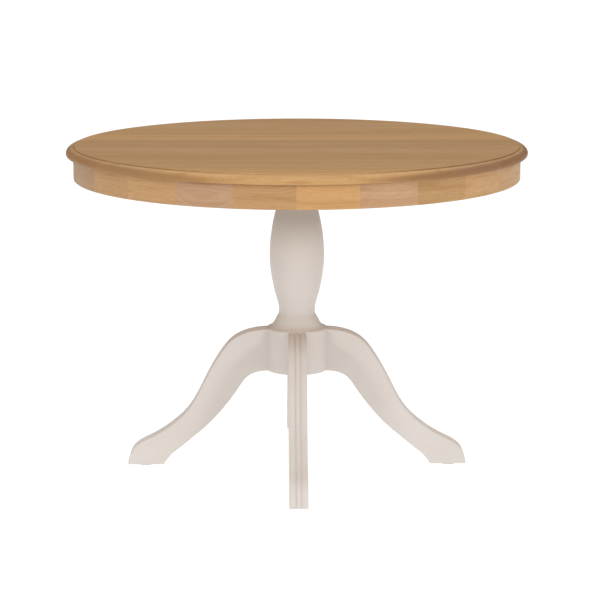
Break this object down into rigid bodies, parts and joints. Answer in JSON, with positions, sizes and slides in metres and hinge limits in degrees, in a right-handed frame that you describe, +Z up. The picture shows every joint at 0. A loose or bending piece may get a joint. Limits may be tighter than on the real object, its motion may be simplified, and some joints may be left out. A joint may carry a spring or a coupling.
{
  "type": "pedestal dining table",
  "caption": "Round wooden dining table with a moulded top and curved apron on a turned, painted pedestal with splayed, reeded legs.",
  "frame": {"origin": "on the floor, under the middle of the round top", "axes": "+Z up through the middle of the top; the front leg points to -Y; the boards of the top run along X"},
  "size_m": [1.06, 1.0598, 0.76],
  "materials": {
    "top_oak": "satin",
    "apron_oak": "satin",
    "base_paint": "painted satin",
    "raw_wood": "sawn",
    "black_steel": "powder coated",
    "zinc_steel": "zinc plated",
    "glide_plastic": "matte"
  },
  "bodies": {
    "root": {"apron_segment_01": "apron_oak", "apron_segment_02": "apron_oak", "apron_segment_03": "apron_oak", "apron_segment_04": "apron_oak", "apron_segment_05": "apron_oak", "apron_segment_06": "apron_oak", "apron_segment_07": "apron_oak", "apron_segment_08": "apron_oak", "apron_segment_09": "apron_oak", "apron_segment_10": "apron_oak", "apron_segment_11": "apron_oak", "apron_segment_12": "apron_oak", "apron_segment_13": "apron_oak", "apron_segment_14": "apron_oak", "apron_segment_15": "apron_oak", "apron_segment_16": "apron_oak", "apron_segment_17": "apron_oak", "apron_segment_18": "apron_oak", "apron_segment_19": "apron_oak", "apron_segment_20": "apron_oak", "apron_segment_21": "apron_oak", "apron_segment_22": "apron_oak", "apron_segment_23": "apron_oak", "apron_segment_24": "apron_oak", "apron_segment_25": "apron_oak", "bearer_across": "raw_wood", "bearer_along": "raw_wood", "bearer_inserts": "zinc_steel", "bearer_screws": "zinc_steel", "block_screws": "zinc_steel", "cap_screws": "zinc_steel", "column": "base_paint", "column_screws": "zinc_steel", "glide_back": "glide_plastic", "glide_front": "glide_plastic", "glide_left": "glide_plastic", "glide_nails": "zinc_steel", "glide_right": "glide_plastic", "glue_blocks": "raw_wood", "hub_cap": "base_paint", "leg_back": "base_paint", "leg_bolts": "zinc_steel", "leg_dowels": "raw_wood", "leg_front": "base_paint", "leg_left": "base_paint", "leg_nuts": "zinc_steel", "leg_right": "base_paint", "mounting_plate": "black_steel", "plate_bolts": "black_steel", "saddle_washers": "zinc_steel", "top_board_01": "top_oak", "top_board_02": "top_oak", "top_board_03": "top_oak", "top_board_04": "top_oak", "top_board_05": "top_oak", "top_board_06": "top_oak", "top_board_07": "top_oak", "top_board_08": "top_oak", "top_board_09": "top_oak"}
  },
  "joints": []
}
